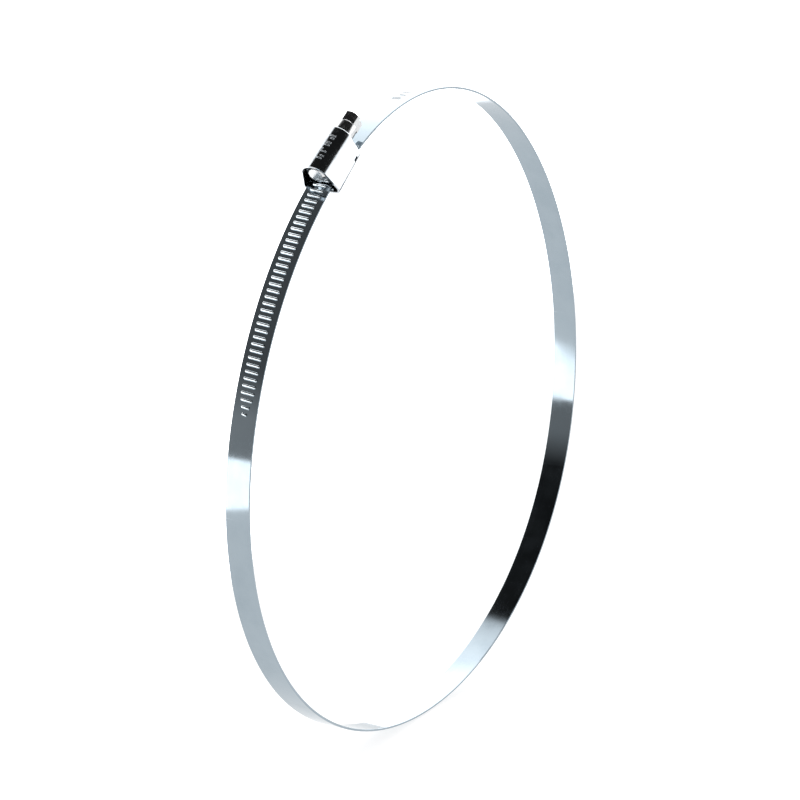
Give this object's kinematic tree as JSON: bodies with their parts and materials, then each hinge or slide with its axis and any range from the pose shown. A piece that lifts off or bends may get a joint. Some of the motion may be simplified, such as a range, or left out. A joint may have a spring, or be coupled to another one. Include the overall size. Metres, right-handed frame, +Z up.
{
  "type": "worm-drive hose clamp",
  "caption": "Round worm-drive hose clamp: a steel band with a threaded run, a pressed housing and a hexagon-headed worm screw that draws the ring tight.",
  "frame": {"origin": "centre of the ring, on the axis of the hose that it grips, halfway across the band's width", "axes": "+Y along the hose, +Z up and +X across, as the clamp stands with its housing at the upper left"},
  "size_m": [0.2244, 0.014, 0.2241],
  "materials": {
    "band": "bright zinc plate",
    "housing": "bright zinc plate",
    "screw": "bright zinc plate"
  },
  "bodies": {
    "housing": {"housing": "housing", "band_plain_end": "band"},
    "screw": {"screw": "screw"},
    "thread_run": {"band_thread_run": "band"},
    "segment_01": {"band_segment_01": "band"},
    "segment_02": {"band_segment_02": "band"},
    "segment_03": {"band_segment_03": "band"},
    "segment_04": {"band_segment_04": "band"},
    "segment_05": {"band_segment_05": "band"},
    "segment_06": {"band_segment_06": "band"},
    "segment_07": {"band_segment_07": "band"},
    "segment_08": {"band_segment_08": "band"},
    "segment_09": {"band_segment_09": "band"},
    "segment_10": {"band_segment_10": "band"},
    "segment_11": {"band_segment_11": "band"},
    "segment_12": {"band_segment_12": "band"},
    "segment_13": {"band_segment_13": "band"},
    "segment_14": {"band_segment_14": "band"},
    "segment_15": {"band_segment_15": "band"},
    "segment_16": {"band_segment_16": "band"},
    "segment_17": {"band_segment_17": "band"}
  },
  "joints": [
    {"name": "band_feed", "type": "hinge", "parent": "housing", "child": "thread_run", "pos_m": [0.01664, 0, -0.01118], "axis": [0, 1, 0], "range_deg": [0, 35.62]},
    {"name": "screw_turn", "type": "hinge", "parent": "housing", "child": "screw", "pos_m": [-0.05707, 0, 0.10103], "axis": [-0.8358, 0, -0.549], "range_deg": [0, 12962]},
    {"name": "band_bend_01", "type": "hinge", "parent": "housing", "child": "segment_01", "pos_m": [0.01979, 0, -0.01322], "axis": [0, 1, 0], "range_deg": [0, 34.64]},
    {"name": "band_bend_02", "type": "hinge", "parent": "housing", "child": "segment_02", "pos_m": [0.02574, 0, -0.01541], "axis": [0, 1, 0], "range_deg": [0, 33.09]},
    {"name": "band_bend_03", "type": "hinge", "parent": "housing", "child": "segment_03", "pos_m": [0.02934, 0, -0.0159], "axis": [0, 1, 0], "range_deg": [0, 32.23]},
    {"name": "band_bend_04", "type": "hinge", "parent": "housing", "child": "segment_04", "pos_m": [0.03227, 0, -0.01566], "axis": [0, 1, 0], "range_deg": [0, 31.55]},
    {"name": "band_bend_05", "type": "hinge", "parent": "housing", "child": "segment_05", "pos_m": [0.03801, 0, -0.01389], "axis": [0, 1, 0], "range_deg": [0, 30.14]},
    {"name": "band_bend_06", "type": "hinge", "parent": "housing", "child": "segment_06", "pos_m": [0.04854, 0, -0.00788], "axis": [0, 1, 0], "range_deg": [0, 27.45]},
    {"name": "band_bend_07", "type": "hinge", "parent": "housing", "child": "segment_07", "pos_m": [0.06287, 0, 0.00495], "axis": [0, 1, 0], "range_deg": [0, 23.74]},
    {"name": "band_bend_08", "type": "hinge", "parent": "housing", "child": "segment_08", "pos_m": [0.07705, 0, 0.02389], "axis": [0, 1, 0], "range_deg": [0, 20.03]},
    {"name": "band_bend_09", "type": "hinge", "parent": "housing", "child": "segment_09", "pos_m": [0.08596, 0, 0.04167], "axis": [0, 1, 0], "range_deg": [0, 17.45]},
    {"name": "band_bend_10", "type": "hinge", "parent": "housing", "child": "segment_10", "pos_m": [0.08832, 0, 0.04921], "axis": [0, 1, 0], "range_deg": [0, 16.49]},
    {"name": "band_bend_11", "type": "hinge", "parent": "housing", "child": "segment_11", "pos_m": [0.0882, 0, 0.04838], "axis": [0, 1, 0], "range_deg": [0, 16.6]},
    {"name": "band_bend_12", "type": "hinge", "parent": "housing", "child": "segment_12", "pos_m": [0.08819, 0, 0.04863], "axis": [0, 1, 0], "range_deg": [0, 16.56]},
    {"name": "band_bend_13", "type": "hinge", "parent": "housing", "child": "segment_13", "pos_m": [0.08701, 0, 0.05472], "axis": [0, 1, 0], "range_deg": [0, 15.23]},
    {"name": "band_bend_14", "type": "hinge", "parent": "housing", "child": "segment_14", "pos_m": [0.08264, 0, 0.06589], "axis": [0, 1, 0], "range_deg": [0, 12.24]},
    {"name": "band_bend_15", "type": "hinge", "parent": "housing", "child": "segment_15", "pos_m": [0.07402, 0, 0.0795], "axis": [0, 1, 0], "range_deg": [0, 8.17]},
    {"name": "band_bend_16", "type": "hinge", "parent": "housing", "child": "segment_16", "pos_m": [0.06106, 0, 0.09296], "axis": [0, 1, 0], "range_deg": [0, 4.13]},
    {"name": "band_bend_17", "type": "hinge", "parent": "housing", "child": "segment_17", "pos_m": [0.04303, 0, 0.10482], "axis": [0, 1, 0], "range_deg": [0, 1.14]}
  ],
  "couplings": [
    {"joint": "screw_turn", "follows": "band_feed", "ratio": 363.8},
    {"joint": "band_bend_01", "follows": "band_feed", "ratio": 0.9724},
    {"joint": "band_bend_02", "follows": "band_feed", "ratio": 0.92868},
    {"joint": "band_bend_03", "follows": "band_feed", "ratio": 0.90478},
    {"joint": "band_bend_04", "follows": "band_feed", "ratio": 0.88548},
    {"joint": "band_bend_05", "follows": "band_feed", "ratio": 0.84603},
    {"joint": "band_bend_06", "follows": "band_feed", "ratio": 0.77059},
    {"joint": "band_bend_07", "follows": "band_feed", "ratio": 0.66639},
    {"joint": "band_bend_08", "follows": "band_feed", "ratio": 0.5621},
    {"joint": "band_bend_09", "follows": "band_feed", "ratio": 0.48976},
    {"joint": "band_bend_10", "follows": "band_feed", "ratio": 0.4628},
    {"joint": "band_bend_11", "follows": "band_feed", "ratio": 0.466},
    {"joint": "band_bend_12", "follows": "band_feed", "ratio": 0.46482},
    {"joint": "band_bend_13", "follows": "band_feed", "ratio": 0.42733},
    {"joint": "band_bend_14", "follows": "band_feed", "ratio": 0.3434},
    {"joint": "band_bend_15", "follows": "band_feed", "ratio": 0.2292},
    {"joint": "band_bend_16", "follows": "band_feed", "ratio": 0.11599},
    {"joint": "band_bend_17", "follows": "band_feed", "ratio": 0.03196}
  ]
}
